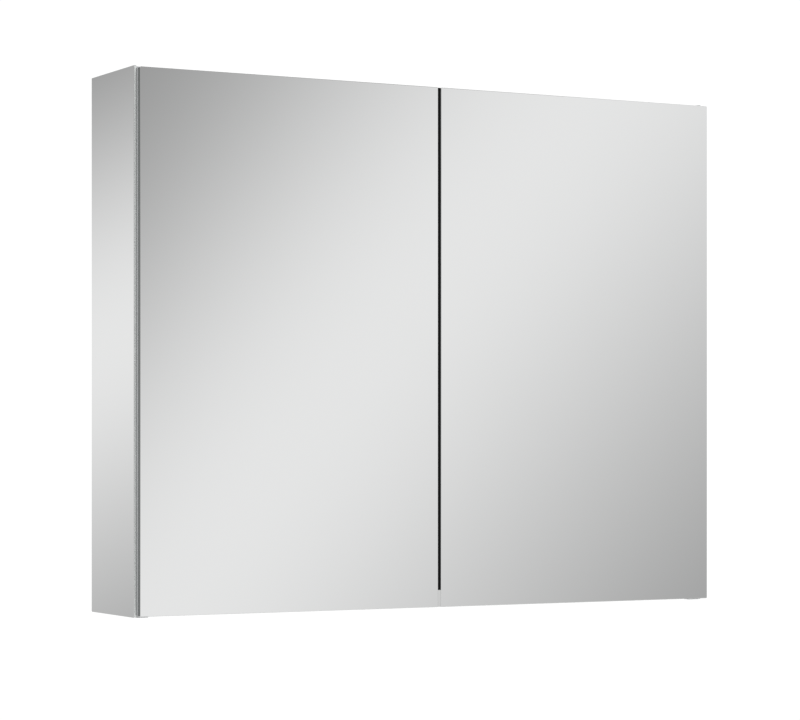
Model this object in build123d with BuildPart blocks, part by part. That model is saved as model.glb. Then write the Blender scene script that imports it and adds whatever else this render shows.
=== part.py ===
"""Wall-hung mirror cabinet with two double-sided mirror doors on concealed gooseneck hinges.

Frame: X runs to the right as seen from the room, -Y points into the room, +Z is up.
The origin is the centre of the wall plane, which is also the centre of the four wall-screw holes.
The carcass is board with mirror glass glued to its outer sides. Each door is a front mirror, an
aluminium frame with a foam core, and a back mirror. Two glass shelves rest on pins inside.
All sizes are in millimetres.
"""

from build123d import *
import os

os.makedirs("parts", exist_ok=True)

# ---------------------------------------------------------------- driving sizes
WIDTH = 800.0  # outer faces of the side mirrors
HEIGHT = 646.0  # side panels, top to bottom
DEPTH = 148.0  # wall to the front of the doors

BOARD = 15.0  # carcass board
SIDE_GLASS = 3.0  # mirror glued to each outer side
EDGE_BAND = 1.0  # glued strip on each front board edge
BACK_PANEL = 4.0
BACK_GROOVE = 6.0  # how deep the back panel's groove is cut
BACK_PLAY = 0.1  # room each side of the back panel in its groove

FRONT_GLASS = 6.0
FRAME = 4.0  # thickness of the door's aluminium frame and core
BACK_GLASS = 3.0
DOOR_STANDOFF = 3.0  # carcass front to the back of the door
DOOR_INSET = 1.0  # door edge behind the side mirror's outer face
DOOR_TOP_MARGIN = 3.5  # door lower than the side panels at the top
DOOR_LOW_MARGIN = 2.0  # door shorter than the side panels at the bottom
LID_DROP = 5.0  # top board lower than the side panels, so that the doors hide it
DOOR_SPLIT = 4.0  # gap between the two doors
ARRIS = 0.5  # chamfer round a polished mirror
GLASS_CORNER = 1.2  # rounding of each corner of a mirror
END_BAND = 1.0  # glued strip on the top and bottom end of each side board
SIDE_DROP = 1.5  # side board lower than its mirror glass at the top
HINGE_STILE = 34.0
FREE_STILE = 20.0
RAIL = 20.0
FRAME_SETBACK = 0.3  # frame inside the outline of the glass

GRIP_RECESS = 23.0  # side panel's lower end up to the bottom panel's underside
HANGING_RAIL = 80.0  # height of each board that takes the wall screws
WALL_HOLE_X = 340.0
WALL_HOLE_Z = 250.0
WALL_HOLE_R = 3.0

SHELF_GLASS = 5.0
SHELF_DEPTH = 100.0
SHELF_PLAY = 1.5  # gap at each end of a shelf
SHELF_Z = 95.0  # height of the pin rows in use, above and below the middle
PIN_PITCH = 32.0  # spacing of the spare pin holes
PIN_R = 2.5

HINGE_Z = 225.0  # hinge height above and below the middle
PIVOT_U = 5.2  # pivot, in from the door's outer edge
PIVOT_V = -4.2  # pivot, forward of the door's back face
HINGE_PIN_R = 1.0
RUN_CLEARANCE = 0.05  # radial room of the hinge pin in its knuckle
FIT = 0.05  # radial room of a fastener in its hole

# ---------------------------------------------------------------- worked-out places
SIDES = {"left": -1, "right": 1}
LEVELS = {"upper": 1, "lower": -1}
DOOR_T = FRONT_GLASS + FRAME + BACK_GLASS
FRONT_Y = -DEPTH
REAR_Y = FRONT_Y + DOOR_T  # back face of the doors
CARCASS_Y = REAR_Y + DOOR_STANDOFF  # front edge of the carcass
FRAME_Y = FRONT_Y + FRONT_GLASS
BACK_GLASS_Y = FRAME_Y + FRAME
INNER_X = WIDTH / 2 - SIDE_GLASS - BOARD
TOP_Z = HEIGHT / 2
SIDE_TOP = TOP_Z - SIDE_DROP
DOOR_W = WIDTH / 2 - DOOR_INSET - DOOR_SPLIT / 2
DOOR_TOP = TOP_Z - DOOR_TOP_MARGIN
DOOR_LOW = -TOP_Z + DOOR_LOW_MARGIN
LID_Z = TOP_Z - LID_DROP  # upper face of the top panel
CEILING_Z = LID_Z - BOARD  # underside of the top panel
UNDER_Z = -TOP_Z + GRIP_RECESS  # underside of the bottom panel
FLOOR_Z = UNDER_Z + BOARD
BACK_FRONT_Y = -BOARD - BACK_PANEL  # inner face of the back panel
SHELF_FRONT_Y = BACK_FRONT_Y - 3.0 - SHELF_DEPTH


def box_between(low, high, mode=Mode.ADD):
    """A box in the current part, from its lowest corner to its highest."""
    size = [b - a for a, b in zip(low, high)]
    middle = [(a + b) / 2 for a, b in zip(low, high)]
    with Locations(tuple(middle)):
        Box(*size, mode=mode)


def drill(points, direction, radius, depth):
    """Blind round holes in the current part. direction points out of each hole's mouth."""
    with Locations(*[Plane(origin=p, z_dir=direction) for p in points]):
        Hole(radius=radius, depth=depth)


def write(shape, name):
    """Labels one finished piece, or a list of like pieces, and exports it as one node."""
    node = Compound(children=list(shape)) if isinstance(shape, (list, tuple)) else shape
    node.label = name
    export_step(node, f"parts/{name}.step")


def mirror_at(shape, side, name):
    """The left-hand shape as it is, or its mirror image for the right."""
    placed = shape if side < 0 else shape.mirror(Plane.YZ)
    placed.label = name
    return placed


# ---------------------------------------------------------------- fastener places
CAM_SETBACK = 24.0  # cam centre, in from the panel's end
CAM_Y = (-35.0, -100.0)
DOWEL_Y = (-52.0, -83.0)
RAIL_DOWEL_Z = (20.0, 60.0)  # up from a hanging rail's lower edge
CAM_R = 7.5
CAM_DEPTH = 12.0
CAM_BOLT_R = 3.5
BOLT_IN_SIDE = 10.0
DOWEL_R = 4.0
DOWEL_IN_SIDE = 9.0
DOWEL_IN_PANEL = 21.0
PANEL_MID_Z = (CEILING_Z + BOARD / 2, UNDER_Z + BOARD / 2)
RAIL_LOW_Z = (CEILING_Z - HANGING_RAIL, FLOOR_Z)
RAIL_MID_Y = -BOARD / 2
RAIL_DOWELS = [(RAIL_MID_Y, low + dz) for low in RAIL_LOW_Z for dz in RAIL_DOWEL_Z]
PANEL_DOWELS = [(y, z) for y in DOWEL_Y for z in PANEL_MID_Z]
PIN_ROWS = [s * SHELF_Z + n * PIN_PITCH for s in (-1, 1) for n in (-1, 0, 1)]
PIN_Y = (SHELF_FRONT_Y + 18.0, SHELF_FRONT_Y + SHELF_DEPTH - 18.0)
PIN_HOLE_DEPTH = 10.0

PLATE_V = 37.0  # hinge plate's screw line behind the carcass front
PLATE_SCREW_Z = 16.0
PLATE_SCREW_R = 2.2
PLATE_SCREW_DEPTH = 11.0


# ---------------------------------------------------------------- carcass
def side_panel():
    """Left side board, with its back groove and every blind hole on its inner face."""
    outer, inner = -WIDTH / 2 + SIDE_GLASS, -INNER_X
    with BuildPart() as panel:
        low, high = -TOP_Z + END_BAND, SIDE_TOP - END_BAND
        box_between((outer, CARCASS_Y + EDGE_BAND, low), (inner, 0, high))
        box_between(
            (inner - BACK_GROOVE, BACK_FRONT_Y - BACK_PLAY, FLOOR_Z - BACK_GROOVE),
            (inner, -BOARD + BACK_PLAY, CEILING_Z + BACK_GROOVE),
            mode=Mode.SUBTRACT,
        )
        inward = (1, 0, 0)
        drill([(inner, y, z) for y in PIN_Y for z in PIN_ROWS], inward, PIN_R + FIT, PIN_HOLE_DEPTH)
        dowels = RAIL_DOWELS + PANEL_DOWELS
        drill([(inner, y, z) for y, z in dowels], inward, DOWEL_R + FIT, DOWEL_IN_SIDE + FIT)
        bolts = [(inner, y, z) for y in CAM_Y for z in PANEL_MID_Z]
        drill(bolts, inward, CAM_BOLT_R + FIT, BOLT_IN_SIDE + FIT)
        screws = [
            (inner, CARCASS_Y + PLATE_V, s * HINGE_Z + t * PLATE_SCREW_Z)
            for s in (-1, 1)
            for t in (-1, 1)
        ]
        drill(screws, inward, PLATE_SCREW_R + FIT, PLATE_SCREW_DEPTH)
    return panel.part


def side_edge_band():
    """Glued strip on the left side board's front edge."""
    with BuildPart() as band:
        low = (-WIDTH / 2 + SIDE_GLASS, CARCASS_Y, -TOP_Z)
        box_between(low, (-INNER_X, CARCASS_Y + EDGE_BAND, SIDE_TOP))
        fillet(band.edges().filter_by(Axis.Z).group_by(Axis.Y)[0], 0.5)
    return band.part


def side_end_band(level):
    """Glued strip on the top or bottom end of the left side board."""
    low = SIDE_TOP - END_BAND if level > 0 else -TOP_Z
    with BuildPart() as band:
        box_between(
            (-WIDTH / 2 + SIDE_GLASS, CARCASS_Y + EDGE_BAND, low),
            (-INNER_X, 0, low + END_BAND),
        )
    return band.part


def side_mirror():
    """Mirror glass that covers the left side, polished all round."""
    with BuildPart() as glass:
        box_between((-WIDTH / 2, CARCASS_Y, -TOP_Z), (-WIDTH / 2 + SIDE_GLASS, 0, TOP_Z))
        fillet(glass.edges().filter_by(Axis.X), GLASS_CORNER)
        chamfer(glass.faces().sort_by(Axis.X)[0].edges(), ARRIS)
    return glass.part


def cross_panel(low_z, groove_low, groove_high, cam_face_z):
    """Top or bottom board between the sides, drilled for cams, cam bolts and dowels."""
    with BuildPart() as panel:
        box_between((-INNER_X, CARCASS_Y + EDGE_BAND, low_z), (INNER_X, 0, low_z + BOARD))
        box_between(
            (-INNER_X, BACK_FRONT_Y - BACK_PLAY, groove_low),
            (INNER_X, -BOARD + BACK_PLAY, groove_high),
            mode=Mode.SUBTRACT,
        )
        outward = (0, 0, 1 if cam_face_z > low_z else -1)
        cams = [(s * (INNER_X - CAM_SETBACK), y, cam_face_z) for s in (-1, 1) for y in CAM_Y]
        drill(cams, outward, CAM_R + FIT, CAM_DEPTH)
        for s in (-1, 1):
            ends = [(s * INNER_X, y, low_z + BOARD / 2) for y in CAM_Y]
            drill(ends, (s, 0, 0), CAM_BOLT_R + FIT, CAM_SETBACK)
            ends = [(s * INNER_X, y, low_z + BOARD / 2) for y in DOWEL_Y]
            drill(ends, (s, 0, 0), DOWEL_R + FIT, DOWEL_IN_PANEL + FIT)
    return panel.part


def cross_edge_band(low_z):
    """Glued strip on the front edge of the top or bottom board."""
    with BuildPart() as band:
        box_between((-INNER_X, CARCASS_Y, low_z), (INNER_X, CARCASS_Y + EDGE_BAND, low_z + BOARD))
        fillet(band.edges().filter_by(Axis.X).group_by(Axis.Y)[0], 0.5)
    return band.part


def hanging_rail(low_z):
    """Board behind the back panel that the wall screws pull against the wall."""
    hole_z = WALL_HOLE_Z if low_z > 0 else -WALL_HOLE_Z
    with BuildPart() as rail:
        box_between((-INNER_X, -BOARD, low_z), (INNER_X, 0, low_z + HANGING_RAIL))
        drill([(s * WALL_HOLE_X, 0, hole_z) for s in (-1, 1)], (0, 1, 0), WALL_HOLE_R, BOARD)
        for s in (-1, 1):
            ends = [(s * INNER_X, RAIL_MID_Y, low_z + dz) for dz in RAIL_DOWEL_Z]
            drill(ends, (s, 0, 0), DOWEL_R + FIT, DOWEL_IN_PANEL + FIT)
    return rail.part


def back_panel():
    """Thin panel held in grooves all round, with the four wall-screw holes."""
    reach = BACK_GROOVE - 0.5
    low, high = FLOOR_Z - reach, CEILING_Z + reach
    with BuildPart() as panel:
        box_between((-INNER_X - reach, BACK_FRONT_Y, low), (INNER_X + reach, -BOARD, high))
        holes = [(s * WALL_HOLE_X, -BOARD, t * WALL_HOLE_Z) for s in (-1, 1) for t in (-1, 1)]
        drill(holes, (0, 1, 0), WALL_HOLE_R, BACK_PANEL)
    return panel.part


# ---------------------------------------------------------------- carcass fasteners
def dowel(side, y, z):
    """Fluted beech dowel across one board joint."""
    end = Plane(origin=(side * (INNER_X + DOWEL_IN_SIDE), y, z), z_dir=(-side, 0, 0))
    with BuildPart() as peg:
        with BuildSketch(end):
            Circle(DOWEL_R)
        extrude(amount=DOWEL_IN_SIDE + DOWEL_IN_PANEL)
        chamfer(peg.faces().filter_by(Axis.X).edges(), 0.6)
        with BuildSketch(end):
            with PolarLocations(DOWEL_R, 12):
                Circle(0.35)
        extrude(amount=DOWEL_IN_SIDE + DOWEL_IN_PANEL, mode=Mode.SUBTRACT)
    return peg.part


def cam_lock(side, y, face_z, outward):
    """Quarter-turn cam in its pocket, with a cross slot in the top and a mouth for the bolt."""
    centre = (side * (INNER_X - CAM_SETBACK), y, face_z)
    with BuildPart() as cam:
        with BuildSketch(Plane(origin=centre, z_dir=(0, 0, -outward))):
            Circle(CAM_R)
        extrude(amount=CAM_DEPTH - 0.5)
        for length, width in ((9.0, 1.6), (1.6, 9.0)):
            with Locations(centre):
                Box(length, width, 4.0, mode=Mode.SUBTRACT)
        mouth = Plane(origin=(centre[0] + side * CAM_R, y, face_z - outward * BOARD / 2), z_dir=(side, 0, 0))
        with Locations(mouth):
            Hole(radius=CAM_BOLT_R + FIT, depth=CAM_R + 4.0)
    return cam.part


def cam_bolt(side, y, z):
    """Bolt screwed into the side board, with the waisted head that the cam grips."""
    start = side * (INNER_X + BOLT_IN_SIDE)
    reach = BOLT_IN_SIDE + CAM_SETBACK
    with BuildPart() as bolt:
        with BuildSketch(Plane(origin=(start, y, z), x_dir=(-side, 0, 0), z_dir=(0, 0, 1))):
            with BuildLine():
                Polyline(
                    (0, 0),
                    (0, CAM_BOLT_R - 0.8),
                    (1.0, CAM_BOLT_R),
                    (BOLT_IN_SIDE, CAM_BOLT_R),
                    (BOLT_IN_SIDE + 1.0, CAM_BOLT_R - 0.5),
                    (reach - 5.0, CAM_BOLT_R - 0.5),
                    (reach - 5.0, 1.8),
                    (reach - 1.0, 1.8),
                    (reach - 1.0, CAM_BOLT_R - 0.3),
                    (reach + 1.5, CAM_BOLT_R - 0.3),
                    (reach + 1.5, 0),
                    close=True,
                )
            make_face()
        revolve(axis=Axis((0, y, z), (1, 0, 0)))
    return bolt.part


def screw(point, direction, head_r, head_h, shank_r, length):
    """Pan-head screw whose head sits on point. direction points out of the screw's hole."""
    with BuildPart() as body:
        with BuildSketch(Plane(origin=point, z_dir=direction)):
            Circle(head_r)
        extrude(amount=head_h)
        top = body.faces().sort_by(Axis(point, direction))[-1]
        chamfer(top.edges(), head_h * 0.35)
        with BuildSketch(Plane(origin=point, z_dir=[-c for c in direction])):
            Circle(shank_r)
        extrude(amount=length)
        tip = body.faces().sort_by(Axis(point, direction))[0]
        chamfer(tip.edges(), shank_r * 0.5)
        slot = Plane(origin=[p + d * head_h for p, d in zip(point, direction)], z_dir=direction)
        with Locations(slot):
            Box(head_r * 1.1, head_r * 0.26, head_h, mode=Mode.SUBTRACT)
            Box(head_r * 0.26, head_r * 1.1, head_h, mode=Mode.SUBTRACT)
    return body.part


# ---------------------------------------------------------------- shelves
def shelf(level):
    """Polished glass shelf that lies on four pins."""
    low = level * SHELF_Z + PIN_R
    with BuildPart() as glass:
        box_between(
            (-INNER_X + SHELF_PLAY, SHELF_FRONT_Y, low),
            (INNER_X - SHELF_PLAY, SHELF_FRONT_Y + SHELF_DEPTH, low + SHELF_GLASS),
        )
        fillet(glass.edges().filter_by(Axis.Z), 3.0)
        chamfer(glass.faces().filter_by(Axis.Z).edges(), 0.5)
    return glass.part


def shelf_pin(side, y, z):
    """Turned pin: a shank in the side board, a collar on its face and a nose under the glass."""
    nose = 9.0
    shank = PIN_HOLE_DEPTH - 1.0
    with BuildPart() as pin:
        with BuildSketch(Plane(origin=(side * (INNER_X + shank), y, z), z_dir=(-side, 0, 0))):
            Circle(PIN_R)
        extrude(amount=shank + nose)
        with BuildSketch(Plane(origin=(side * INNER_X, y, z), z_dir=(-side, 0, 0))):
            Circle(PIN_R + 1.4)
        extrude(amount=SHELF_PLAY - 0.4)
        tip = pin.faces().sort_by(Axis.X)[0 if side > 0 else -1]
        fillet(tip.edges(), 0.8)
    return pin.part


def door_bumper(x, z):
    """Clear domed pad that the closed door rests against."""
    height = DOOR_STANDOFF - 0.1
    with BuildPart() as pad:
        with BuildSketch(Plane(origin=(x, CARCASS_Y, z), z_dir=(0, -1, 0))):
            Circle(4.5)
        extrude(amount=height)
        fillet(pad.faces().sort_by(Axis.Y)[0].edges(), 1.8)
    return pad.part


# ---------------------------------------------------------------- hinges, drawn for the left side
CUP_LENGTH = 26.0  # along the door's width
CUP_START = 2.0  # from the door's outer edge
CUP_HALF_Z = 12.0
CUP_DEPTH = BACK_GLASS + FRAME - 0.1
CUP_WALL = 0.8
CUP_FLOOR = 0.5
FLANGE = 0.8
FLANGE_HALF_Z = 24.0
CUP_SCREW_Z = 18.5
CUP_SCREW_R = 1.4
KNUCKLE_R = 2.0
KNUCKLE_HALF_Z = 6.5
NECK = 1.5  # thickness of the gooseneck strip
NECK_HALF_Z = 6.0
PLATE_LIFT = 2.0  # wings of the mounting plate
RAIL_LIFT = 6.0  # raised middle of the mounting plate
ARM_V = (12.0, 66.0)  # arm channel, from the door's back face
ARM_HALF_Z = 9.0
ARM_WALL = 1.5
ARM_LIFT = 7.2  # underside of the arm's top wall above the side board
ADJUSTER_V = (24.0, 54.0)  # side and depth screws on the arm
ADJUSTER_R = 2.0
ADJUSTER_LENGTH = 5.6
BOARD_U = WIDTH / 2 - DOOR_INSET - INNER_X  # side board's inner face, in from the door's edge


def from_edge(u, v):
    """X and Y of a point u in from the left door's outer edge and v behind its back face."""
    return (-WIDTH / 2 + DOOR_INSET + u, REAR_Y + v)


PIVOT_XY = from_edge(PIVOT_U, PIVOT_V)
PLATE_XV = DOOR_STANDOFF + PLATE_V  # plate's screw line behind the door's back face


def cup_outline(grow, radius):
    """Rounded rectangle of the cup in the door's plane, grown outwards by grow."""
    RectangleRounded(CUP_LENGTH + 2 * grow, 2 * (CUP_HALF_Z + grow), radius)


def cup_plane(v, z=0.0):
    """Plane across the left door's cup, v behind the door's back face, that looks to the wall."""
    x, y = from_edge(CUP_START + CUP_LENGTH / 2, v)
    return Plane(origin=(x, y, z), x_dir=(-1, 0, 0), z_dir=(0, 1, 0))


def hinge_cup():
    """Cup sunk in the door, with a screwed flange and two holes for the pin. At height 0."""
    with BuildPart() as cup:
        with BuildSketch(cup_plane(-CUP_DEPTH)):
            cup_outline(0, 2.3)
        extrude(amount=CUP_DEPTH)
        with BuildSketch(cup_plane(0)):
            cup_outline(0, 2.3)
            RectangleRounded(15.0, 2 * FLANGE_HALF_Z, 6.0)
        extrude(amount=FLANGE)
        with BuildSketch(cup_plane(CUP_FLOOR - CUP_DEPTH)):
            cup_outline(-CUP_WALL, 1.5)
        extrude(amount=CUP_DEPTH + FLANGE, mode=Mode.SUBTRACT)
        centre_x, flange_y = from_edge(CUP_START + CUP_LENGTH / 2, FLANGE)
        drill(
            [(centre_x, flange_y, s * CUP_SCREW_Z) for s in (-1, 1)],
            (0, 1, 0),
            CUP_SCREW_R + FIT,
            FLANGE,
        )
        with Locations((*PIVOT_XY, 0)):
            Cylinder(HINGE_PIN_R, 2 * CUP_HALF_Z, mode=Mode.SUBTRACT)
    return cup.part


def hinge_pin():
    """Steel pin through the cup's walls and the arm's knuckle. At height 0."""
    with BuildPart() as pin:
        with Locations((*PIVOT_XY, 0)):
            Cylinder(HINGE_PIN_R, 2 * CUP_HALF_Z)
        chamfer(pin.edges().filter_by(GeomType.CIRCLE), 0.2)
    return pin.part


def hinge_plate():
    """Mounting plate: two screwed wings and a raised rail that the arm clips over. At height 0."""
    with BuildPart() as plate:
        low = from_edge(BOARD_U, PLATE_XV - 9.0)
        high = from_edge(BOARD_U + PLATE_LIFT, PLATE_XV + 9.0)
        box_between((*low, -24.0), (*high, 24.0))
        fillet(plate.edges().filter_by(Axis.X), 5.0)
        low = from_edge(BOARD_U, ARM_V[0] + 2.0)
        high = from_edge(BOARD_U + RAIL_LIFT, ARM_V[1] - 3.0)
        box_between((*low, -7.0), (*high, 7.0))
        fillet(plate.edges().filter_by(Axis.X).group_by(Axis.Y)[0], 1.5)
        holes = [
            (*from_edge(BOARD_U + PLATE_LIFT, PLATE_XV), s * PLATE_SCREW_Z) for s in (-1, 1)
        ]
        drill(holes, (1, 0, 0), PLATE_SCREW_R + FIT, PLATE_LIFT)
        drill(
            [(*from_edge(BOARD_U + RAIL_LIFT, v), 0) for v in ADJUSTER_V],
            (1, 0, 0),
            ADJUSTER_R + FIT,
            RAIL_LIFT - 1.0,
        )
    return plate.part


def hinge_arm():
    """Arm: a channel over the mounting plate, a gooseneck strip and the pin's knuckle. At height 0."""
    lid_u = BOARD_U + ARM_LIFT
    neck_u = lid_u + ARM_WALL / 2
    with BuildPart() as arm:
        # channel, hollow towards the side board
        low, high = from_edge(BOARD_U + 1.0, ARM_V[0]), from_edge(lid_u + ARM_WALL, ARM_V[1])
        box_between((*low, -ARM_HALF_Z), (*high, ARM_HALF_Z))
        fillet(arm.edges().filter_by(Axis.Y).group_by(Axis.X)[-1], 1.2)
        low, high = from_edge(BOARD_U, ARM_V[0] - 1.0), from_edge(lid_u, ARM_V[1] + 1.0)
        hollow = ARM_HALF_Z - ARM_WALL
        box_between((*low, -hollow), (*high, hollow), mode=Mode.SUBTRACT)
        # the channel's side walls stop above the plate's wings
        for s in (-1, 1):
            low = from_edge(BOARD_U, PLATE_XV - 9.5)
            high = from_edge(BOARD_U + PLATE_LIFT + 0.3, PLATE_XV + 9.5)
            ends = sorted((s * hollow, s * (ARM_HALF_Z + 1.0)))
            box_between((*low, ends[0]), (*high, ends[1]), mode=Mode.SUBTRACT)
        # gooseneck, traced along its middle line and drawn down to a flat strip
        with BuildSketch(Plane.XY.offset(-NECK_HALF_Z)):
            with BuildLine():
                FilletPolyline(
                    from_edge(neck_u, ARM_V[0] + 8.0),
                    from_edge(neck_u, ARM_V[0] - 3.0),
                    from_edge(PIVOT_U + 8.5, PIVOT_V),
                    from_edge(PIVOT_U + 1.0, PIVOT_V),
                    radius=3.0,
                )
            trace(line_width=NECK)
        extrude(amount=2 * NECK_HALF_Z)
        with Locations((*PIVOT_XY, 0)):
            Cylinder(KNUCKLE_R, 2 * KNUCKLE_HALF_Z)
            Cylinder(HINGE_PIN_R + RUN_CLEARANCE, 2 * KNUCKLE_HALF_Z, mode=Mode.SUBTRACT)
        drill(
            [(*from_edge(lid_u + ARM_WALL, v), 0) for v in ADJUSTER_V],
            (1, 0, 0),
            ADJUSTER_R + FIT,
            ARM_WALL,
        )
    return arm.part


# ---------------------------------------------------------------- doors, drawn for the left side
SEAL_CLEAR = 0.3  # between the centre seal and the other door
SEAL_RECESS = 0.25  # seal behind the front face of the glass
SEAL_GROOVE = 1.4
SEAL_GROOVE_DEPTH = 3.0
DOOR_LEFT_X = -WIDTH / 2 + DOOR_INSET
DOOR_RIGHT_X = DOOR_LEFT_X + DOOR_W


def door_glass(y_low, y_high, arris_side):
    """Mirror pane over the whole door, with a polished arris round its outer face."""
    with BuildPart() as glass:
        box_between((DOOR_LEFT_X, y_low, DOOR_LOW), (DOOR_RIGHT_X, y_high, DOOR_TOP))
        fillet(glass.edges().filter_by(Axis.Y), GLASS_CORNER)
        outer = glass.faces().sort_by(Axis.Y)[0 if arris_side < 0 else -1]
        chamfer(outer.edges(), ARRIS)
    return glass.part


def cut_for_cups(shape):
    """The shape with room for the two hinge cups and their screws."""
    with BuildPart() as cut:
        add(shape)
        for s in (-1, 1):
            with BuildSketch(cup_plane(-CUP_DEPTH - 1.0, s * HINGE_Z)):
                cup_outline(FIT, 2.3)
            extrude(amount=CUP_DEPTH + 2.0, mode=Mode.SUBTRACT)
        centre_x, rear_y = from_edge(CUP_START + CUP_LENGTH / 2, 0)
        holes = [
            (centre_x, rear_y, s * HINGE_Z + t * CUP_SCREW_Z) for s in (-1, 1) for t in (-1, 1)
        ]
        drill(holes, (0, 1, 0), CUP_SCREW_R + FIT, BACK_GLASS + FRAME - 0.5)
    return cut.part


def stile(x_low, x_high):
    """Upright bar of the door's aluminium frame."""
    with BuildPart() as bar:
        low, high = DOOR_LOW + FRAME_SETBACK, DOOR_TOP - FRAME_SETBACK
        box_between((x_low, FRAME_Y, low), (x_high, BACK_GLASS_Y, high))
    return bar.part


def free_stile(grooved):
    """Upright bar at the door's free edge. The left door's one is grooved for the centre seal."""
    middle = (FRAME_Y + BACK_GLASS_Y) / 2
    with BuildPart() as bar:
        box_between(
            (DOOR_RIGHT_X - FREE_STILE, FRAME_Y, DOOR_LOW + FRAME_SETBACK),
            (DOOR_RIGHT_X - 0.2, BACK_GLASS_Y, DOOR_TOP - FRAME_SETBACK),
        )
        if grooved:
            box_between(
                (DOOR_RIGHT_X - SEAL_GROOVE_DEPTH, middle - SEAL_GROOVE / 2, DOOR_LOW),
                (DOOR_RIGHT_X, middle + SEAL_GROOVE / 2, DOOR_TOP),
                mode=Mode.SUBTRACT,
            )
    return bar.part


def frame_rail(low, high):
    """Level bar of the door's frame, between the stiles, from height low to height high."""
    with BuildPart() as bar:
        box_between(
            (DOOR_LEFT_X + HINGE_STILE, FRAME_Y, low),
            (DOOR_RIGHT_X - FREE_STILE, BACK_GLASS_Y, high),
        )
    return bar.part


def door_core():
    """Foam board that fills the frame."""
    with BuildPart() as core:
        box_between(
            (DOOR_LEFT_X + HINGE_STILE, FRAME_Y, DOOR_LOW + RAIL),
            (DOOR_RIGHT_X - FREE_STILE, BACK_GLASS_Y, DOOR_TOP - RAIL),
        )
    return core.part


def centre_strip(low_z, high_z, recess, bevel, nose):
    """Strip that closes the gap between the doors, with a barb in the free stile's groove.

    recess is how far it lies behind the front of the glass, bevel the slope on its free corner,
    and nose how far it reaches over the slope on the glass's own edge.
    """
    middle = (FRAME_Y + BACK_GLASS_Y) / 2
    front, rear = FRONT_Y + recess, BACK_GLASS_Y + 1.0
    edge = DOOR_RIGHT_X
    tip = edge + DOOR_SPLIT - SEAL_CLEAR
    barb = SEAL_GROOVE / 2 - 0.05
    with BuildPart() as strip:
        with BuildSketch(Plane.XY.offset(low_z)):
            with BuildLine():
                Polyline(
                    (edge, front + nose),
                    *([(edge - nose, front)] if nose else []),
                    (tip - bevel, front),
                    (tip, front + bevel),
                    (tip, rear - 0.8),
                    (tip - 0.8, rear),
                    (edge, rear),
                    (edge, middle + barb),
                    (edge - SEAL_GROOVE_DEPTH + 0.1, middle + barb),
                    (edge - SEAL_GROOVE_DEPTH + 0.1, middle - barb),
                    (edge, middle - barb),
                    close=True,
                )
            make_face()
        extrude(amount=high_z - low_z)
    return strip.part


# ---------------------------------------------------------------- write the carcass
for name, side in SIDES.items():
    write(mirror_at(side_panel(), side, ""), f"side_panel_{name}")
    write(mirror_at(side_edge_band(), side, ""), f"side_edge_band_{name}")
    bands = [mirror_at(side_end_band(level), side, "band") for level in LEVELS.values()]
    write(bands, f"side_end_bands_{name}")
    write(mirror_at(side_mirror(), side, ""), f"side_mirror_{name}")

write(cross_panel(CEILING_Z, CEILING_Z, CEILING_Z + BACK_GROOVE, LID_Z), "top_panel")
write(cross_panel(UNDER_Z, FLOOR_Z - BACK_GROOVE, FLOOR_Z, UNDER_Z), "bottom_panel")
write(cross_edge_band(CEILING_Z), "top_edge_band")
write(cross_edge_band(UNDER_Z), "bottom_edge_band")
write(back_panel(), "back_panel")
for name, low_z in zip(LEVELS, RAIL_LOW_Z):
    write(hanging_rail(low_z), f"hanging_rail_{name}")

joints = [(s, y, z) for s in SIDES.values() for y, z in PANEL_DOWELS + RAIL_DOWELS]
write([dowel(*place) for place in joints], "dowels")
bolts = [(s, y, z) for s in SIDES.values() for y in CAM_Y for z in PANEL_MID_Z]
write([cam_bolt(*place) for place in bolts], "cam_bolts")
cams = [(s, y, z, o) for s in SIDES.values() for y in CAM_Y for z, o in ((LID_Z, 1), (UNDER_Z, -1))]
write([cam_lock(*place) for place in cams], "cam_locks")

for name, level in LEVELS.items():
    write(shelf(level), f"shelf_{name}")
    pins = [(s, y, level * SHELF_Z) for s in SIDES.values() for y in PIN_Y]
    write([shelf_pin(*place) for place in pins], f"shelf_pins_{name}")

bumper_places = [(x, z) for x in (-14.0, 14.0) for z in PANEL_MID_Z]
write([door_bumper(*place) for place in bumper_places], "door_bumpers")

# ---------------------------------------------------------------- write the hinges
plate_screws, adjusters = [], []
for side_name, side in SIDES.items():
    pins, cup_screws = [], []
    for level_name, level in LEVELS.items():
        here = Location((0, 0, level * HINGE_Z))
        where = f"{side_name}_{level_name}"
        write(mirror_at(hinge_plate().moved(here), side, ""), f"hinge_plate_{where}")
        write(mirror_at(hinge_arm().moved(here), side, ""), f"hinge_arm_{where}")
        write(mirror_at(hinge_cup().moved(here), side, ""), f"hinge_cup_{where}")
        pins.append(mirror_at(hinge_pin().moved(here), side, "pin"))
        for t in (-1, 1):
            seat = (*from_edge(BOARD_U + PLATE_LIFT, PLATE_XV), t * PLATE_SCREW_Z)
            made = screw(seat, (1, 0, 0), 3.6, 1.8, PLATE_SCREW_R, PLATE_LIFT + PLATE_SCREW_DEPTH - 1.0)
            plate_screws.append(mirror_at(made.moved(here), side, "screw"))
            seat = (*from_edge(CUP_START + CUP_LENGTH / 2, FLANGE), t * CUP_SCREW_Z)
            made = screw(seat, (0, 1, 0), 2.6, 0.9, CUP_SCREW_R, FLANGE + BACK_GLASS + FRAME - 1.0)
            cup_screws.append(mirror_at(made.moved(here), side, "screw"))
        for v in ADJUSTER_V:
            seat = (*from_edge(BOARD_U + ARM_LIFT + ARM_WALL, v), 0)
            made = screw(seat, (1, 0, 0), 3.4, 1.4, ADJUSTER_R, ADJUSTER_LENGTH)
            adjusters.append(mirror_at(made.moved(here), side, "screw"))
    write(pins, f"hinge_pins_{side_name}")
    write(cup_screws, f"hinge_cup_screws_{side_name}")
write(plate_screws, "hinge_plate_screws")
write(adjusters, "hinge_adjusters")

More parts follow.
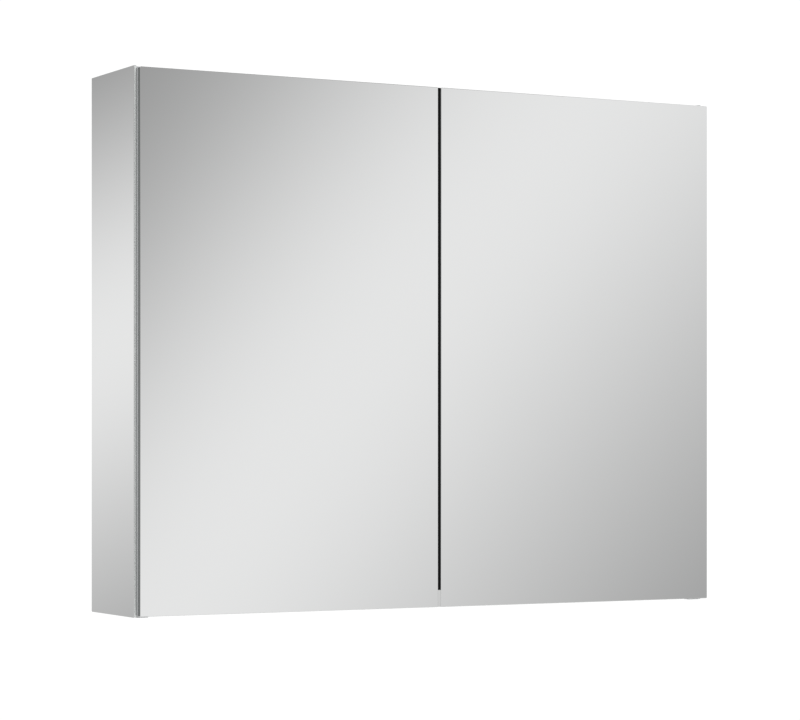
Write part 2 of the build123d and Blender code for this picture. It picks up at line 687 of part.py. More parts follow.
# ---------------------------------------------------------------- write the doors
for name, side in SIDES.items():
    door = f"door_{name}"
    write(mirror_at(door_glass(FRONT_Y, FRAME_Y, -1), side, ""), f"{door}_front_mirror")
    rear = cut_for_cups(door_glass(BACK_GLASS_Y, REAR_Y, 1))
    write(mirror_at(rear, side, ""), f"{door}_back_mirror")
    hinge_side = cut_for_cups(stile(DOOR_LEFT_X + 0.2, DOOR_LEFT_X + HINGE_STILE))
    write(mirror_at(hinge_side, side, ""), f"{door}_hinge_stile")
    write(mirror_at(free_stile(side < 0), side, ""), f"{door}_free_stile")
    upper = frame_rail(DOOR_TOP - RAIL, DOOR_TOP - FRAME_SETBACK)
    lower = frame_rail(DOOR_LOW + FRAME_SETBACK, DOOR_LOW + RAIL)
    write(mirror_at(upper, side, ""), f"{door}_top_rail")
    write(mirror_at(lower, side, ""), f"{door}_bottom_rail")
    write(mirror_at(door_core(), side, ""), f"{door}_core")

write(centre_strip(UNDER_Z, DOOR_TOP - 0.5, SEAL_RECESS, 0.8, 0), "centre_seal")
write(centre_strip(DOOR_LOW + 0.3, UNDER_Z, 0.0, 0.1, ARRIS - 0.07), "centre_strip_end")
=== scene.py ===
# %% [markdown]
# # A mirror cabinet, finished for the camera
#
# The object is a wall-hung bathroom cabinet: two mirror doors that cover the whole front, mirror
# glass on both sides, glass shelves inside and hinges that can't be seen while the doors are shut.
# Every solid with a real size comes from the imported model, so this lesson is mostly about
# finishes: what makes a pane look like silvered glass, a board like chipboard with a white skin,
# and a hinge like nickel-plated steel. Everything is in metres. X runs to the right, -Y comes out
# of the wall into the room, Z points up, and the origin is the centre of the wall plane.

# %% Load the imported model
import math

import bpy
import numpy as np
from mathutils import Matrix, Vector


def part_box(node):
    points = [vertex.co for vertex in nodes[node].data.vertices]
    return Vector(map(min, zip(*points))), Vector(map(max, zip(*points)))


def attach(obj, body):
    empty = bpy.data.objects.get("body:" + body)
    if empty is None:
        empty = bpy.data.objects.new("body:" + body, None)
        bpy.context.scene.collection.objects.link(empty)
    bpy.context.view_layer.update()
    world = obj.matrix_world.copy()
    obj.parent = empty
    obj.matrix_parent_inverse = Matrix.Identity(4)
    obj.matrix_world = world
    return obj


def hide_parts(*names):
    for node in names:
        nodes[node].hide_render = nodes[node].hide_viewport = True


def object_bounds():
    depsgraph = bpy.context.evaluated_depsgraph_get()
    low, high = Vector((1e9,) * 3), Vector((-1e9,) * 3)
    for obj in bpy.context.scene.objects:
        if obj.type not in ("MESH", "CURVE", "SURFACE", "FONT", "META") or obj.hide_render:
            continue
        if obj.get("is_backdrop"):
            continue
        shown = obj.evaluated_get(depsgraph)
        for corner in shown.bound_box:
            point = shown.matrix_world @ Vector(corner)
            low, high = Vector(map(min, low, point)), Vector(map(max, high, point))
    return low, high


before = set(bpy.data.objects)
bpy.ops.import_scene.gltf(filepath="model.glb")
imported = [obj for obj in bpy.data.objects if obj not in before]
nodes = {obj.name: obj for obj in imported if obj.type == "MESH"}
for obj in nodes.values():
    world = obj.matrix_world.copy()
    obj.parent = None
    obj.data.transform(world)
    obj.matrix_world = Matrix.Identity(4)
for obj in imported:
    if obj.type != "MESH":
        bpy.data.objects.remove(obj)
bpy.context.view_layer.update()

# %% [markdown]
# ## Shader maths as plain arithmetic
#
# A finish is a sum of masks, noises and colours. Each of those could be wired by hand, node by
# node, which is slow to write and hard to read. Instead one small class wraps an output socket, so
# that `mask * 0.5 + noise` adds the Math nodes it needs. A second class holds one material and has
# a single method that adds any other kind of node.


# %% A socket that can be added and multiplied
class Wire:
    """A number that comes out of a node. Arithmetic on it adds Math nodes."""

    def __init__(self, socket):
        self.socket = socket
        self.tree = socket.node.id_data

    def math(self, operation, first, second=0.0, clamp=False):
        node = self.tree.nodes.new("ShaderNodeMath")
        node.operation = operation
        node.use_clamp = clamp
        for socket, value in zip(node.inputs, (first, second)):
            if isinstance(value, Wire):
                self.tree.links.new(value.socket, socket)
            else:
                socket.default_value = value
        return Wire(node.outputs[0])

    def __add__(self, other):
        return self.math("ADD", self, other)

    def __radd__(self, other):
        return self.math("ADD", other, self)

    def __sub__(self, other):
        return self.math("SUBTRACT", self, other)

    def __rsub__(self, other):
        return self.math("SUBTRACT", other, self)

    def __mul__(self, other):
        return self.math("MULTIPLY", self, other)

    def __rmul__(self, other):
        return self.math("MULTIPLY", other, self)

    def __truediv__(self, other):
        return self.math("DIVIDE", self, other)

    def __abs__(self):
        return self.math("ABSOLUTE", self)

    def most(self, other):
        return self.math("MAXIMUM", self, other)

    def cosine(self):
        return self.math("COSINE", self)

    def sine(self):
        return self.math("SINE", self)

    def step(self, low, high):
        """0 below low, 1 above high, and a straight ramp between them."""
        return self.math("MULTIPLY", self - low, 1.0 / (high - low), clamp=True)


# %% A material, or any other node tree, with one method that adds nodes
class Finish:
    """A node tree under construction."""

    def __init__(self, name=None, tree=None):
        self.material = None
        if tree is None:
            self.material = bpy.data.materials.new(name)
            self.material.use_nodes = True
            tree = self.material.node_tree
        self.tree = tree
        self.tree.nodes.clear()

    def node(self, kind, settings=None, inputs=None):
        """Adds a node: its settings first, then the values or links of its sockets."""
        made = self.tree.nodes.new("ShaderNode" + kind)
        for key, value in (settings or {}).items():
            if key == "stops":
                ramp = made.color_ramp
                while len(ramp.elements) < len(value):
                    ramp.elements.new(0.5)
                for stop, (place, colour) in zip(ramp.elements, value):
                    stop.position = place
                    stop.color = colour
            else:
                setattr(made, key, value)
        for key, value in (inputs or {}).items():
            socket = made.inputs[key]
            if isinstance(value, Wire):
                self.tree.links.new(value.socket, socket)
            else:
                socket.default_value = value
        return made

    def out(self, node, name=0):
        return Wire(node.outputs[name])

    def place(self):
        """X, Y and Z of the point being shaded, in the row frame."""
        where = self.node("TexCoord")
        split = self.node("SeparateXYZ", inputs={0: self.out(where, "Object")})
        return [self.out(split, axis) for axis in "XYZ"]

    def noise(self, scale, detail, stretch=(1.0, 1.0, 1.0)):
        """Soft noise from 0 to 1, with scale in cycles per metre. stretch squeezes it by axis."""
        where = self.out(self.node("TexCoord"), "Object")
        mapped = self.node("Mapping", inputs={"Vector": where, "Scale": stretch})
        inputs = {"Vector": self.out(mapped), "Scale": scale, "Detail": detail}
        return self.out(self.node("TexNoise", inputs=inputs), "Fac")

    def blend(self, factor, first, second):
        """A colour that goes from first to second as factor goes from 0 to 1."""
        inputs = {"Factor": factor, 6: first, 7: second}
        return self.out(self.node("Mix", {"data_type": "RGBA"}, inputs), 2)

    def bump(self, height, distance):
        """A normal bent by height, where distance is the real depth in metres at height 1."""
        inputs = {"Height": height, "Distance": distance}
        return self.out(self.node("Bump", inputs=inputs), "Normal")

    def surface(self, **inputs):
        """The last step: one Principled shader on the output."""
        named = {key.replace("_", " "): value for key, value in inputs.items()}
        shader = self.node("BsdfPrincipled", inputs=named)
        self.node("OutputMaterial", inputs={"Surface": self.out(shader)})
        return self.material


def grey(value):
    """A neutral colour."""
    return (value, value, value, 1.0)


def wear(material, *names):
    """Gives one finish to the named nodes."""
    for name in names:
        for slot in nodes[name].material_slots:
            slot.material = material
    print(material.name, "on", ", ".join(names))


# %% [markdown]
# ## The camera
#
# The view is level, from the left and a little below the middle of the cabinet, with a long lens
# so that the perspective is gentle. A level camera keeps all upright edges parallel. The frame is
# then moved up or down with the lens shift, as is done for pictures of buildings, and not by
# tilting the camera.

# %% Place the camera
eye = (-1.6348, -3.0706, -0.1163)
turn = math.radians(28.385)
camera_data = bpy.data.cameras.new("studio_camera")
camera_data.sensor_width = 36.0
camera_data.lens = 122.25
camera_data.shift_y = 0.10121
camera = bpy.data.objects.new("studio_camera", camera_data)
camera.location = eye
camera.rotation_euler = (math.radians(90.0), 0.0, -turn)
bpy.context.scene.collection.objects.link(camera)
bpy.context.scene.camera = camera
bpy.context.scene.view_settings.view_transform = "Standard"
print("camera at", eye, "turned", round(math.degrees(turn), 2), "degrees")

# %% [markdown]
# ## The studio around a mirror
#
# A mirror has almost no colour of its own: it shows the room. In a studio it is lit by what it
# reflects, which is usually large sheets of paper lit unevenly, so that the glass shows a slow
# change from light to dark. That could be built from many cards and lamps. Here the surroundings
# are one function of direction, which gives the same soft bands with no edges: on the room's side
# they run on a slant, and on the wall's side nearly level. Only reflected rays meet the bands.
# Matt surfaces are lit by an even white room, and the background is white.

# %% Surroundings as a function of direction
world = bpy.data.worlds.new("studio")
world.use_nodes = True
bpy.context.scene.world = world
studio = Finish(tree=world.node_tree)
direction = studio.node("TexCoord")
split = studio.node("SeparateXYZ", inputs={0: studio.out(direction, "Generated")})
dx, dy, dz = (studio.out(split, axis) for axis in "XYZ")
MIRROR_SHARE = 0.93  # how much light a silvered pane gives back
SLANT = 0.6078  # radians by which the bands on the room's side are turned from upright
WALL_LEAN = 1.3052  # weight of Y against Z in the direction across the wall's bands
ROOM_LIGHT = 0.80  # even light that matt surfaces get
BACKGROUND = 1.05  # what the camera sees where there is nothing


def waves(along, middle, swing, rate, start, second, lean):
    """middle + swing cos(t) + second cos(2t) + lean sin(2t), where t = rate (along - start)."""
    t = rate * (along - start)
    return middle + swing * t.cosine() + second * (2.0 * t).cosine() + lean * (2.0 * t).sine()


slanted = dx * math.cos(SLANT) - dz * math.sin(SLANT)
room_bands = waves(
    slanted, middle=0.5343, swing=-0.2354, rate=18.853, start=0.2043, second=0.0032, lean=-0.0200
)
leaning = dz + dy * WALL_LEAN
wall_bands = waves(
    leaning, middle=0.5060, swing=0.2555, rate=20.010, start=1.2303, second=0.0046, lean=0.0387
)
towards_wall = dy.step(-0.25, 0.25)
bands = (room_bands + towards_wall * (wall_bands - room_bands)) / MIRROR_SHARE
ray = studio.node("LightPath")
is_camera, is_glossy = studio.out(ray, "Is Camera Ray"), studio.out(ray, "Is Glossy Ray")
lit = ROOM_LIGHT + is_glossy * (bands - ROOM_LIGHT)
shown = lit.most(is_camera * BACKGROUND)
sky = studio.node("Background", inputs={"Color": grey(1.0), "Strength": shown})
studio.node("OutputWorld", inputs={"Surface": studio.out(sky)})
print("surroundings made of", len(world.node_tree.nodes), "nodes")


# %% Two soft lamps and a pale floor
def lamp(name, place, size, power):
    """A square soft box at place that points at the cabinet and isn't seen in the mirrors."""
    data = bpy.data.lights.new(name, "AREA")
    data.size = size
    data.energy = power
    made = bpy.data.objects.new(name, data)
    made.location = place
    made.rotation_euler = (-Vector(place)).to_track_quat("-Z", "Y").to_euler()
    made.visible_glossy = False
    bpy.context.scene.collection.objects.link(made)


lamp("key_softbox", (-1.8, -2.6, 1.9), 1.4, 28.0)
lamp("fill_softbox", (2.2, -2.2, 0.6), 1.6, 12.0)

FLOOR_Z = -2.4
REACH = 5.0  # from the floor's middle to each of its sides
FADED_SQUARED = 20.0  # square of how far out the floor has faded into the background
corners = [(x * REACH, y * REACH, FLOOR_Z) for x, y in ((-1, -1), (1, -1), (1, 1), (-1, 1))]
floor_mesh = bpy.data.meshes.new("studio_floor")
floor_mesh.from_pydata(corners, [], [(0, 1, 2, 3)])
floor = bpy.data.objects.new("studio_floor", floor_mesh)
bpy.context.scene.collection.objects.link(floor)
paint = Finish("pale floor paint")
across, along, _ = paint.place()
far = ((across * across + along * along) / FADED_SQUARED).step(0.02, 1.0)
floor_mesh.materials.append(
    paint.surface(Base_Color=grey(0.80), Roughness=0.9, Alpha=1.0 - far)
)
floor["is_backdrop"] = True
print("floor at", FLOOR_Z)

# %% [markdown]
# ## Silvered glass
#
# A mirror is clear glass with silver and paint on its back. Seen from the front it is a perfect
# reflector with a trace of green from the iron in the glass. Its ground edge isn't silvered, so
# there the eye looks into the depth of the glass and sees a dark grey-green, as on the door panes.
# The side panes' edges get a light grey instead: a painted highlight, standing for bright light
# that the edge reflects. Both could be modelled as real glass over metal, but the silver alone
# gives the same picture with far less noise. The pane's own size says where the silver stops: a
# mask is 1 inside the polished arris and 0 on it.

# %% Mirror finish
RIM = 0.0001  # how far in from the pane's edge the ground glass is taken to reach


def silvered(name, node, across, rim_tone_and_painted_highlight):
    """Mirror all over the pane but on its ground edge. across names the pane's two long axes."""
    low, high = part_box(node)
    made = Finish(name)
    place = made.place()
    inside = None
    for axis in across:
        middle, half = (low[axis] + high[axis]) / 2, (high[axis] - low[axis]) / 2
        within = 1.0 - abs(place[axis] - middle).step(half - RIM, half - RIM / 2)
        inside = within if inside is None else inside * within
    haze = made.noise(9.0, 3.0)
    specks = made.noise(900.0, 1.0)
    silver = made.blend(haze, (0.926, 0.931, 0.930, 1), (0.932, 0.937, 0.936, 1))
    # Edge colour with specks. On the side panes this light grey is a painted highlight, not the
    # glass's own colour.
    dark, light = (tuple(t * share for t in rim_tone_and_painted_highlight) + (1.0,) for share in (0.94, 1.06))
    ground = made.blend(specks, dark, light)
    return made.surface(
        Base_Color=made.blend(inside, ground, silver),
        Metallic=inside,
        Roughness=0.22 - inside * 0.215,
    )


for side in ("left", "right"):
    for pane, across, rim_tone_and_painted_highlight in (
        (f"door_{side}_front_mirror", (0, 2), (0.088, 0.098, 0.096)),
        (f"door_{side}_back_mirror", (0, 2), (0.185, 0.198, 0.194)),
        # The side panes' light grey edge tone is a painted highlight for bright light reflected by
        # the arris.
        (f"side_mirror_{side}", (1, 2), (0.75, 0.77, 0.76)),
    ):
        wear(silvered(f"silvered glass {pane}", pane, across, rim_tone_and_painted_highlight), pane)

# %% [markdown]
# ## Board
#
# The carcass is chipboard with a white resin skin on both faces. The skin has a very fine orange
# peel. Where a saw has cut the board and no strip covers the cut, the chips show, as at the back
# edges against the wall. The chips are a cell pattern, each cell with its own brown, and a mask
# that fades over 0.3 mm puts them at the cuts and the skin everywhere else.

# %% White-skinned chipboard
CUT_FROM, CUT_FULL = 0.0004, 0.0001  # how far from the cut the chips begin, and are complete
CHIPS_PER_METRE = 420.0
CHIP_BROWNS = [
    (0.0, (0.34, 0.22, 0.12, 1)),
    (0.5, (0.52, 0.37, 0.22, 1)),
    (1.0, (0.66, 0.51, 0.34, 1)),
]


def skinned_board(name, node):
    """White resin skin, with chips at the rear cut, or at the long cuts of a hanging board."""
    low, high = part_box(node)
    made = Finish(name)
    _, y, z = made.place()
    cut = y.step(high[1] - CUT_FROM, high[1] - CUT_FULL)
    if node.startswith("hanging_rail"):
        middle, half = (low[2] + high[2]) / 2, (high[2] - low[2]) / 2
        cut = abs(z - middle).step(half - CUT_FROM, half - CUT_FULL)
    where = made.out(made.node("TexCoord"), "Object")
    chips = made.node("TexVoronoi", inputs={"Vector": where, "Scale": CHIPS_PER_METRE})
    shade = made.node("ValToRGB", {"stops": CHIP_BROWNS}, {"Fac": made.out(chips, "Color")})
    peel = made.noise(1400.0, 2.0)
    mottle = made.noise(14.0, 3.0)
    skin = made.blend(mottle, (0.80, 0.81, 0.81, 1), (0.84, 0.85, 0.85, 1))
    height = peel * (1.0 - cut) + made.out(chips, "Distance") * cut * 6.0
    return made.surface(
        Base_Color=made.blend(cut, skin, made.out(shade, "Color")),
        Roughness=0.42 + cut * 0.45 + mottle * 0.06,
        Normal=made.bump(height, 0.00004),
    )


for board in (
    "side_panel_left",
    "side_panel_right",
    "top_panel",
    "bottom_panel",
    "hanging_rail_upper",
    "hanging_rail_lower",
):
    wear(skinned_board(f"skinned board {board}", board), board)


# %% Glued edge strips
def glued_strip(name, low, high):
    """Thin plastic strip with a faint grain, in a grey between low and high."""
    made = Finish(name)
    grain = made.noise(240.0, 3.0)
    return made.surface(
        Base_Color=made.blend(grain, low, high),
        Roughness=0.34 + grain * 0.1,
        Normal=made.bump(grain, 0.00003),
    )


front_strip = glued_strip("white edge strip", (0.56, 0.57, 0.575, 1), (0.63, 0.64, 0.645, 1))
# The end strips are near black: painted shade for the board ends that show just above and below the
# doors, not the strip's own grey.
painted_shade_end_strip = glued_strip("end edge strip with painted shade", (0.075, 0.08, 0.085, 1), (0.11, 0.115, 0.12, 1))
wear(front_strip, *[n for n in nodes if "edge_band" in n])
wear(painted_shade_end_strip, *[n for n in nodes if "end_bands" in n])

# %% [markdown]
# ## Hardboard back
#
# The back panel is thin hardboard, lacquered white on the side that faces into the cabinet. Its
# other side is bare brown board with the print of the wire screen it was pressed on, and shows
# only from behind.

# %% Hardboard, white in front and bare behind
BARE_FROM, BARE_FULL = 0.0008, 0.0004  # how far from the rear face the brown begins, and is full
SCREEN = 2600.0  # radians per metre of the wire screen's print
low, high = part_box("back_panel")
made = Finish("lacquered hardboard")
x, y, z = made.place()
bare = y.step(high[1] - BARE_FROM, high[1] - BARE_FULL)
fibres = made.noise(90.0, 5.0, (1.0, 1.0, 1.6))
lattice = (x * SCREEN).cosine() * (z * SCREEN).cosine()
brown = made.blend(fibres, (0.17, 0.095, 0.052, 1), (0.30, 0.18, 0.105, 1))
white = made.blend(fibres, (0.81, 0.82, 0.82, 1), (0.85, 0.86, 0.86, 1))
hardboard = made.surface(
    Base_Color=made.blend(bare, white, brown),
    Roughness=0.38 + bare * 0.45,
    Normal=made.bump(lattice * bare + fibres * 0.3, 0.00008),
)
wear(hardboard, "back_panel")

# %% [markdown]
# ## Metal
#
# The doors have satin aluminium bars, whose fine lines run along the bar. The hinges are pressed
# steel with nickel on it, the pins are polished, the end of the strip between the doors is as
# bright as a mirror, and the cams and screws are zinc. All are one recipe, a metallic base with
# roughness from stretched noise, and differ in tone, direction and strength.


# %% Plated and brushed metals
def metal(name, tone, rough, stretch, lines, depth=0.000012):
    """Metal with brushed lines. stretch squeezes the noise along the direction of brushing."""
    made = Finish(name)
    brushed = made.noise(lines, 3.0, stretch)
    cloudy = made.noise(35.0, 3.0)
    low = tuple(c * 0.88 for c in tone) + (1.0,)
    high = tuple(tone) + (1.0,)
    return made.surface(
        Base_Color=made.blend(brushed * 0.6 + cloudy * 0.4, low, high),
        Metallic=1.0,
        Roughness=rough + (brushed - 0.5) * 0.18 + (cloudy - 0.5) * 0.08,
        Normal=made.bump(brushed, depth),
    )


# %% Satin aluminium of the door frames
SATIN = (0.66, 0.67, 0.68)
ALONG_Z, ALONG_X, EVEN = (1.0, 1.0, 0.02), (0.02, 1.0, 1.0), (1.0, 1.0, 1.0)
upright_aluminium = metal("satin aluminium upright", SATIN, 0.34, ALONG_Z, 2200.0)
level_aluminium = metal("satin aluminium level", SATIN, 0.34, ALONG_X, 2200.0)
wear(upright_aluminium, *[n for n in nodes if n.endswith("_stile")])
wear(level_aluminium, *[n for n in nodes if n.startswith("door_") and n.endswith("_rail")])

# %% Hinge, pin and fastener metals
nickel = metal("nickel-plated steel", (0.74, 0.73, 0.71), 0.24, EVEN, 600.0)
zinc = metal("bright zinc", (0.68, 0.70, 0.72), 0.36, EVEN, 900.0, 0.00003)
polished = metal("polished metal", (0.86, 0.86, 0.87), 0.12, EVEN, 300.0, 0.000004)
chrome = metal("mirror-polished metal", (0.955, 0.96, 0.955), 0.02, EVEN, 300.0, 0.0000004)
screws = [n for n in nodes if "screws" in n]
pressed = [n for n in nodes if n.startswith(("hinge_plate_", "hinge_arm", "hinge_cup_"))]
wear(nickel, *[n for n in pressed if n not in screws])
wear(polished, *[n for n in nodes if n.startswith(("shelf_pins", "hinge_pins"))])
wear(chrome, "centre_strip_end")
wear(zinc, "cam_bolts", "cam_locks", "hinge_adjusters", *screws)

# %% [markdown]
# ## Glass shelves
#
# The shelves are clear float glass with a pencil edge: the rim is ground to a half round and
# polished, which makes it safe to touch and gives the bright green line that glass shelves have.
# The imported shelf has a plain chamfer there. A bevel modifier could round it, but the rim is the
# part that catches the light, so the whole slab is worked out as one surface instead: an angle
# goes round the outline, another goes over the rim, and two flat faces close the top and bottom.


# %% Surfaces from grids of points
def grid_quads(rings, around):
    """Four-sided faces between closed rings of points, as rows of indices, in one array."""
    ring, place = np.meshgrid(np.arange(rings - 1), np.arange(around), indexing="ij")
    after = (place + 1) % around
    corners = (ring * around + place, ring * around + after)
    corners += ((ring + 1) * around + after, (ring + 1) * around + place)
    return np.stack(corners, axis=-1).reshape(-1, 4)


def ring_caps(rings, around):
    """The two flat faces that close the first and the last ring, the first one turned over."""
    return [np.arange(around)[::-1], np.arange((rings - 1) * around, rings * around)]


def shown_piece(name, points, quads, caps, finishes, body, slot_name, quad_finish=0):
    """Makes one piece from points that are already where they belong, in metres.

    The four-sided faces are shaded smooth. The large flat caps are not, because a smooth normal
    stretched over a long thin triangle makes a false shadow. quad_finish is the number of the
    finish on the four-sided faces, where it isn't the first one.
    """
    mesh = bpy.data.meshes.new(name)
    faces = quads.tolist() + [cap.tolist() for cap in caps]
    mesh.from_pydata(points.reshape(-1, 3).tolist(), [], faces)
    on_grid = np.arange(len(faces)) < len(quads)
    mesh.set_sharp_from_angle(angle=math.radians(35.0))
    mesh.polygons.foreach_set("use_smooth", on_grid)
    for finish in finishes:
        mesh.materials.append(finish)
    mesh.polygons.foreach_set("material_index", (on_grid * quad_finish).astype(np.int32))
    mesh.update()
    piece = bpy.data.objects.new(name, mesh)
    bpy.context.scene.collection.objects.link(piece)
    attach(piece, body)
    print(name, "rides on", body, "with", len(faces), "faces")
    return piece


# %% A slab with rounded corners and a half-round rim
def pencil_edged(low, high, corner, corner_steps=10, rim_steps=12):
    """Points, four-sided faces and caps of the slab that fills the box from low to high.

    With t half the slab's thickness, a the angle round the outline and b the angle over the rim
    from -90 to 90 degrees, a point is the centre of its corner's arc, plus (corner - t + t cos b)
    along (cos a, sin a), plus t sin b upwards. Each corner has its own quarter of a.
    """
    t = (high[2] - low[2]) / 2
    quarter = np.linspace(0.0, np.pi / 2, corner_steps)
    a = (quarter[None, :] + np.arange(4)[:, None] * np.pi / 2).ravel()
    right = np.repeat([1, 0, 0, 1], corner_steps)
    back = np.repeat([1, 1, 0, 0], corner_steps)
    centre_x = np.where(right, high[0] - corner, low[0] + corner)
    centre_y = np.where(back, high[1] - corner, low[1] + corner)
    b = np.linspace(-np.pi / 2, np.pi / 2, rim_steps)[:, None]
    reach = corner - t + t * np.cos(b)
    x = centre_x + reach * np.cos(a)
    y = centre_y + reach * np.sin(a)
    z = np.broadcast_to(low[2] + t + t * np.sin(b), x.shape)
    grid = (rim_steps, len(a))
    return np.stack((x, y, z), axis=-1), grid_quads(*grid), ring_caps(*grid)


# %% Clear shelf glass with a satin green rim
SHELF_CORNER = 0.003  # radius of the shelf's corners, seen from above
made = Finish("float glass")
smudge = made.noise(11.0, 4.0)
clear = made.surface(
    Base_Color=made.blend(smudge, (0.950, 0.983, 0.972, 1), (0.960, 0.987, 0.978, 1)),
    Roughness=0.004 + smudge * 0.02,
    IOR=1.5,
    Transmission_Weight=1.0,
)
made = Finish("ground glass rim")
polish = made.noise(700.0, 3.0, (0.04, 0.04, 1.0))
ground = made.surface(
    Base_Color=made.blend(polish, (0.33, 0.60, 0.52, 1), (0.52, 0.77, 0.69, 1)),
    Roughness=0.12 + polish * 0.16,
    IOR=1.5,
    Transmission_Weight=0.25,
)
for level in ("upper", "lower"):
    node = f"shelf_{level}"
    slab = pencil_edged(*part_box(node), SHELF_CORNER)
    name = f"pencil_edged_shelf_{level}"
    shelf = shown_piece(name, *slab, (clear, ground), "cabinet", "clear_glass", quad_finish=1)
    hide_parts(node)

# %% [markdown]
# ## Springs of the hinges
#
# Each hinge is closed by two small torsion springs, wound round its pin on both sides of the
# knuckle. One leg lies on the floor of the cup and the other stands against its wall. The spring
# could be a curve with a round bevel, but then its ends would need modelling apart. Here the wire
# is one path of points, leg, winding and leg, and a circle is carried along it.


# %% A round wire along a path
def wire_along(path, radius, around=10):
    """Points, four-sided faces and caps of a round wire.

    At each point of the path, with t the direction of the path there, s the level direction
    square to t and u = t x s, a point of the wire is the path's point plus radius times
    (s cos a + u sin a), for a going once round.
    """
    t = np.gradient(path, axis=0)
    t /= np.linalg.norm(t, axis=1, keepdims=True)
    s = np.cross(t, [0.0, 0.0, 1.0])
    s /= np.linalg.norm(s, axis=1, keepdims=True)
    u = np.cross(t, s)
    a = np.linspace(0.0, 2 * np.pi, around, endpoint=False)[None, :, None]
    points = path[:, None, :] + radius * (s[:, None, :] * np.cos(a) + u[:, None, :] * np.sin(a))
    grid = (len(path), around)
    return points.reshape(-1, 3), grid_quads(*grid), ring_caps(*grid)


# %% The path of a torsion spring
WIRE_RADIUS = 0.00035
COIL_RADIUS = 0.0015  # from the pin's middle to the wire's
TURNS = 4.25
STEPS_PER_TURN = 28
LYING_LEG, STANDING_LEG = 0.0095, 0.0034  # lengths of the two legs
COIL_OUTER, COIL_INNER = 0.0106, 0.0071  # heights of the coil's ends above the hinge's middle


def spring_path(pin, inward, middle_z, upward):
    """Path of a torsion spring round an upright pin, from its lying leg to its standing leg.

    The coil is pin + COIL_RADIUS (cos w, sin w), for w going from -90 degrees back through the
    turns, while the height goes evenly from the outer end to the inner end. Each leg leaves the
    coil straight on. inward is 1 or -1, the side of the pin on which the lying leg is, and upward
    is 1 or -1, the end of the hinge that the spring is at.
    """
    lying = np.linspace(LYING_LEG, 0.0, 12, endpoint=False)
    w = -np.pi / 2 - np.linspace(0.0, TURNS * 2 * np.pi, int(TURNS * STEPS_PER_TURN))
    standing = np.linspace(0.0, STANDING_LEG, 8)[1:]
    before, after = np.ones_like(lying), np.ones_like(standing)
    x = np.concatenate((lying, COIL_RADIUS * np.cos(w), -COIL_RADIUS * after))
    y = np.concatenate((-COIL_RADIUS * before, COIL_RADIUS * np.sin(w), standing))
    height = np.linspace(COIL_OUTER, COIL_INNER, len(w))
    z = np.concatenate((COIL_OUTER * before, height, COIL_INNER * after))
    return np.stack((pin[0] + inward * x, pin[1] + y, middle_z + upward * z), axis=-1)


# %% Two springs in each hinge
spring_steel = metal("spring steel", (0.60, 0.60, 0.60), 0.22, EVEN, 1200.0, 0.000003)
for side, inward in (("left", 1), ("right", -1)):
    pins_low, pins_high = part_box(f"hinge_pins_{side}")
    pin = [(pins_low[axis] + pins_high[axis]) / 2 for axis in (0, 1)]
    all_points, all_quads, all_caps = np.empty((0, 3)), np.empty((0, 4), int), []
    for level in ("upper", "lower"):
        cup_low, cup_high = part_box(f"hinge_cup_{side}_{level}")
        middle_z = (cup_low[2] + cup_high[2]) / 2
        for upward in (-1, 1):
            path = spring_path(pin, inward, middle_z, upward)
            points, quads, caps = wire_along(path, WIRE_RADIUS)
            first = len(all_points)
            all_points = np.concatenate((all_points, points))
            all_quads = np.concatenate((all_quads, first + quads))
            all_caps += [first + cap for cap in caps]
    springs = (all_points, all_quads, all_caps)
    shown_piece(f"hinge_springs_{side}", *springs, [spring_steel], f"{side}_door", "nickel_steel")

# %% [markdown]
# ## The seal between the doors
#
# The seal is extruded rubber: a body that fills the gap, a barb that is pushed into the left
# door's frame, and on the free side four soft ribs that meet the other door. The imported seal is
# plain. The ribbed one is a profile drawn once as an array of points and carried straight up.


# %% Ribbed profile of the seal
SEAL_CORNER = 0.0007
RIBS, RIB_DEPTH = 4, 0.00022
BARB_HALF = 0.00065  # half the thickness of the barb


def ribbed_outline(edge, tip, front, rear, barb_end, barb_y):
    """Outline of the seal seen from above, anticlockwise from the front corner at the door.

    The free side is x = tip - RIB_DEPTH (1 - cos(2 pi RIBS s)) / 2 for s from 0 to 1 between the
    two rounded corners. A corner is a quarter circle. The barb is a plain bar with its middle at
    barb_y, and reaches back to barb_end.
    """
    inner = tip - SEAL_CORNER
    q = np.linspace(0.0, np.pi / 2, 7)
    s = np.linspace(0.0, 1.0, 49)[1:-1]
    x = np.concatenate(
        (
            [edge],
            inner + SEAL_CORNER * np.sin(q),
            tip - RIB_DEPTH * (1 - np.cos(2 * np.pi * RIBS * s)) / 2,
            inner + SEAL_CORNER * np.cos(q),
            [edge, edge, barb_end, barb_end, edge],
        )
    )
    barb_low, barb_high = barb_y - BARB_HALF, barb_y + BARB_HALF
    y = np.concatenate(
        (
            [front],
            front + SEAL_CORNER - SEAL_CORNER * np.cos(q),
            front + SEAL_CORNER + s * (rear - front - 2 * SEAL_CORNER),
            rear - SEAL_CORNER + SEAL_CORNER * np.sin(q),
            [rear, barb_high, barb_high, barb_low, barb_low],
        )
    )
    return np.stack((x, y), axis=-1)


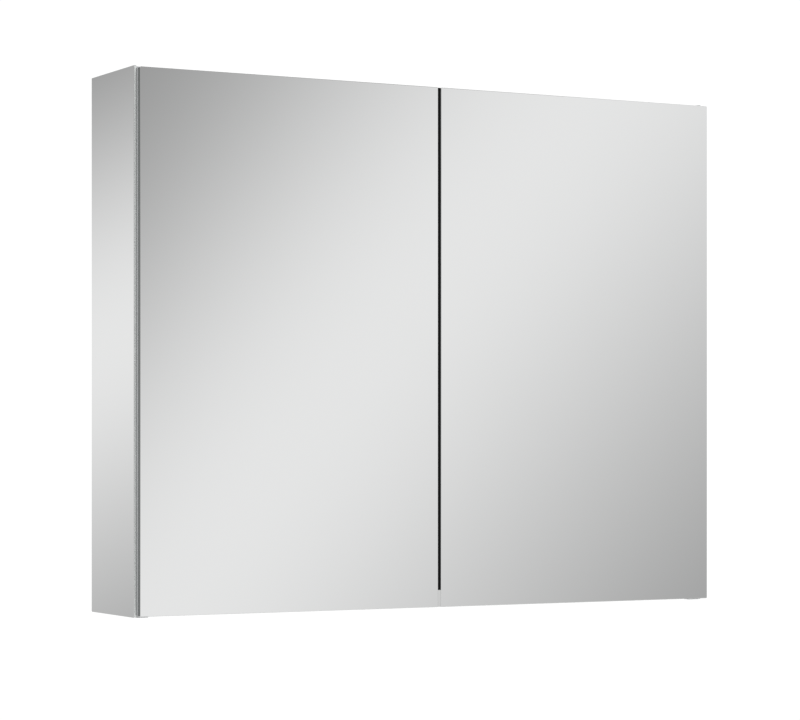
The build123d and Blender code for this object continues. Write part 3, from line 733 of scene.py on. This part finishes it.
# %% Rubber, and the profile carried upwards
made = Finish("black seal rubber")
dust = made.noise(160.0, 4.0)
rubber = made.surface(
    Base_Color=made.blend(dust, grey(0.003), grey(0.006)),
    Roughness=0.7 + dust * 0.2,
    Specular_IOR_Level=0.12,
    Normal=made.bump(made.noise(1800.0, 2.0), 0.00002),
)
seal_low, seal_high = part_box("centre_seal")
stile_low, stile_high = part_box("door_left_free_stile")
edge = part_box("door_left_front_mirror")[1][0]
barb_y = (stile_low[1] + stile_high[1]) / 2
outline = ribbed_outline(edge, seal_high[0], seal_low[1], seal_high[1], seal_low[0], barb_y)
grid = (2, len(outline))
levels = np.broadcast_to(np.array([seal_low[2], seal_high[2]])[:, None, None], (*grid, 1))
points = np.concatenate((np.broadcast_to(outline, (*grid, 2)), levels), axis=-1)
profile = (points, grid_quads(*grid), ring_caps(*grid))
seal = shown_piece("ribbed_seal", *profile, [rubber], "left_door", "black_rubber")
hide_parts("centre_seal")

# %% [markdown]
# ## Soft pads, foam and beech
#
# The bumpers are clear soft plastic, stuck on the front edges so that a closing door makes no
# noise. The foam core and the beech dowels are hidden, but they show where the object is cut open.

# %% Pads, foam board and beech
made = Finish("clear bumper")
cloud = made.noise(300.0, 2.0)
pad = made.surface(
    Base_Color=made.blend(cloud, (0.80, 0.82, 0.82, 1), (0.88, 0.90, 0.90, 1)),
    Roughness=0.18 + cloud * 0.12,
    IOR=1.46,
    Transmission_Weight=0.25,
)
wear(pad, "door_bumpers")

made = Finish("foam board")
cells = made.noise(700.0, 3.0)
foam = made.surface(
    Base_Color=made.blend(cells, grey(0.42), grey(0.58)),
    Roughness=0.9,
    Normal=made.bump(cells, 0.0002),
)
wear(foam, "door_left_core", "door_right_core")

made = Finish("raw beech")
rings = made.noise(160.0, 4.0, (0.08, 1.0, 1.0))
beech = made.surface(
    Base_Color=made.blend(rings, (0.60, 0.42, 0.27, 1), (0.74, 0.56, 0.38, 1)),
    Roughness=0.7,
    Normal=made.bump(rings, 0.00005),
)
wear(beech, "dowels")

# %% [markdown]
# ## Finish
#
# The last cell measures the object as it is shown: the new pieces together with the imported parts
# that stay visible.

# %% Measure and finish
low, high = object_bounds()
print("shown size:", [round(b - a, 4) for a, b in zip(low, high)])
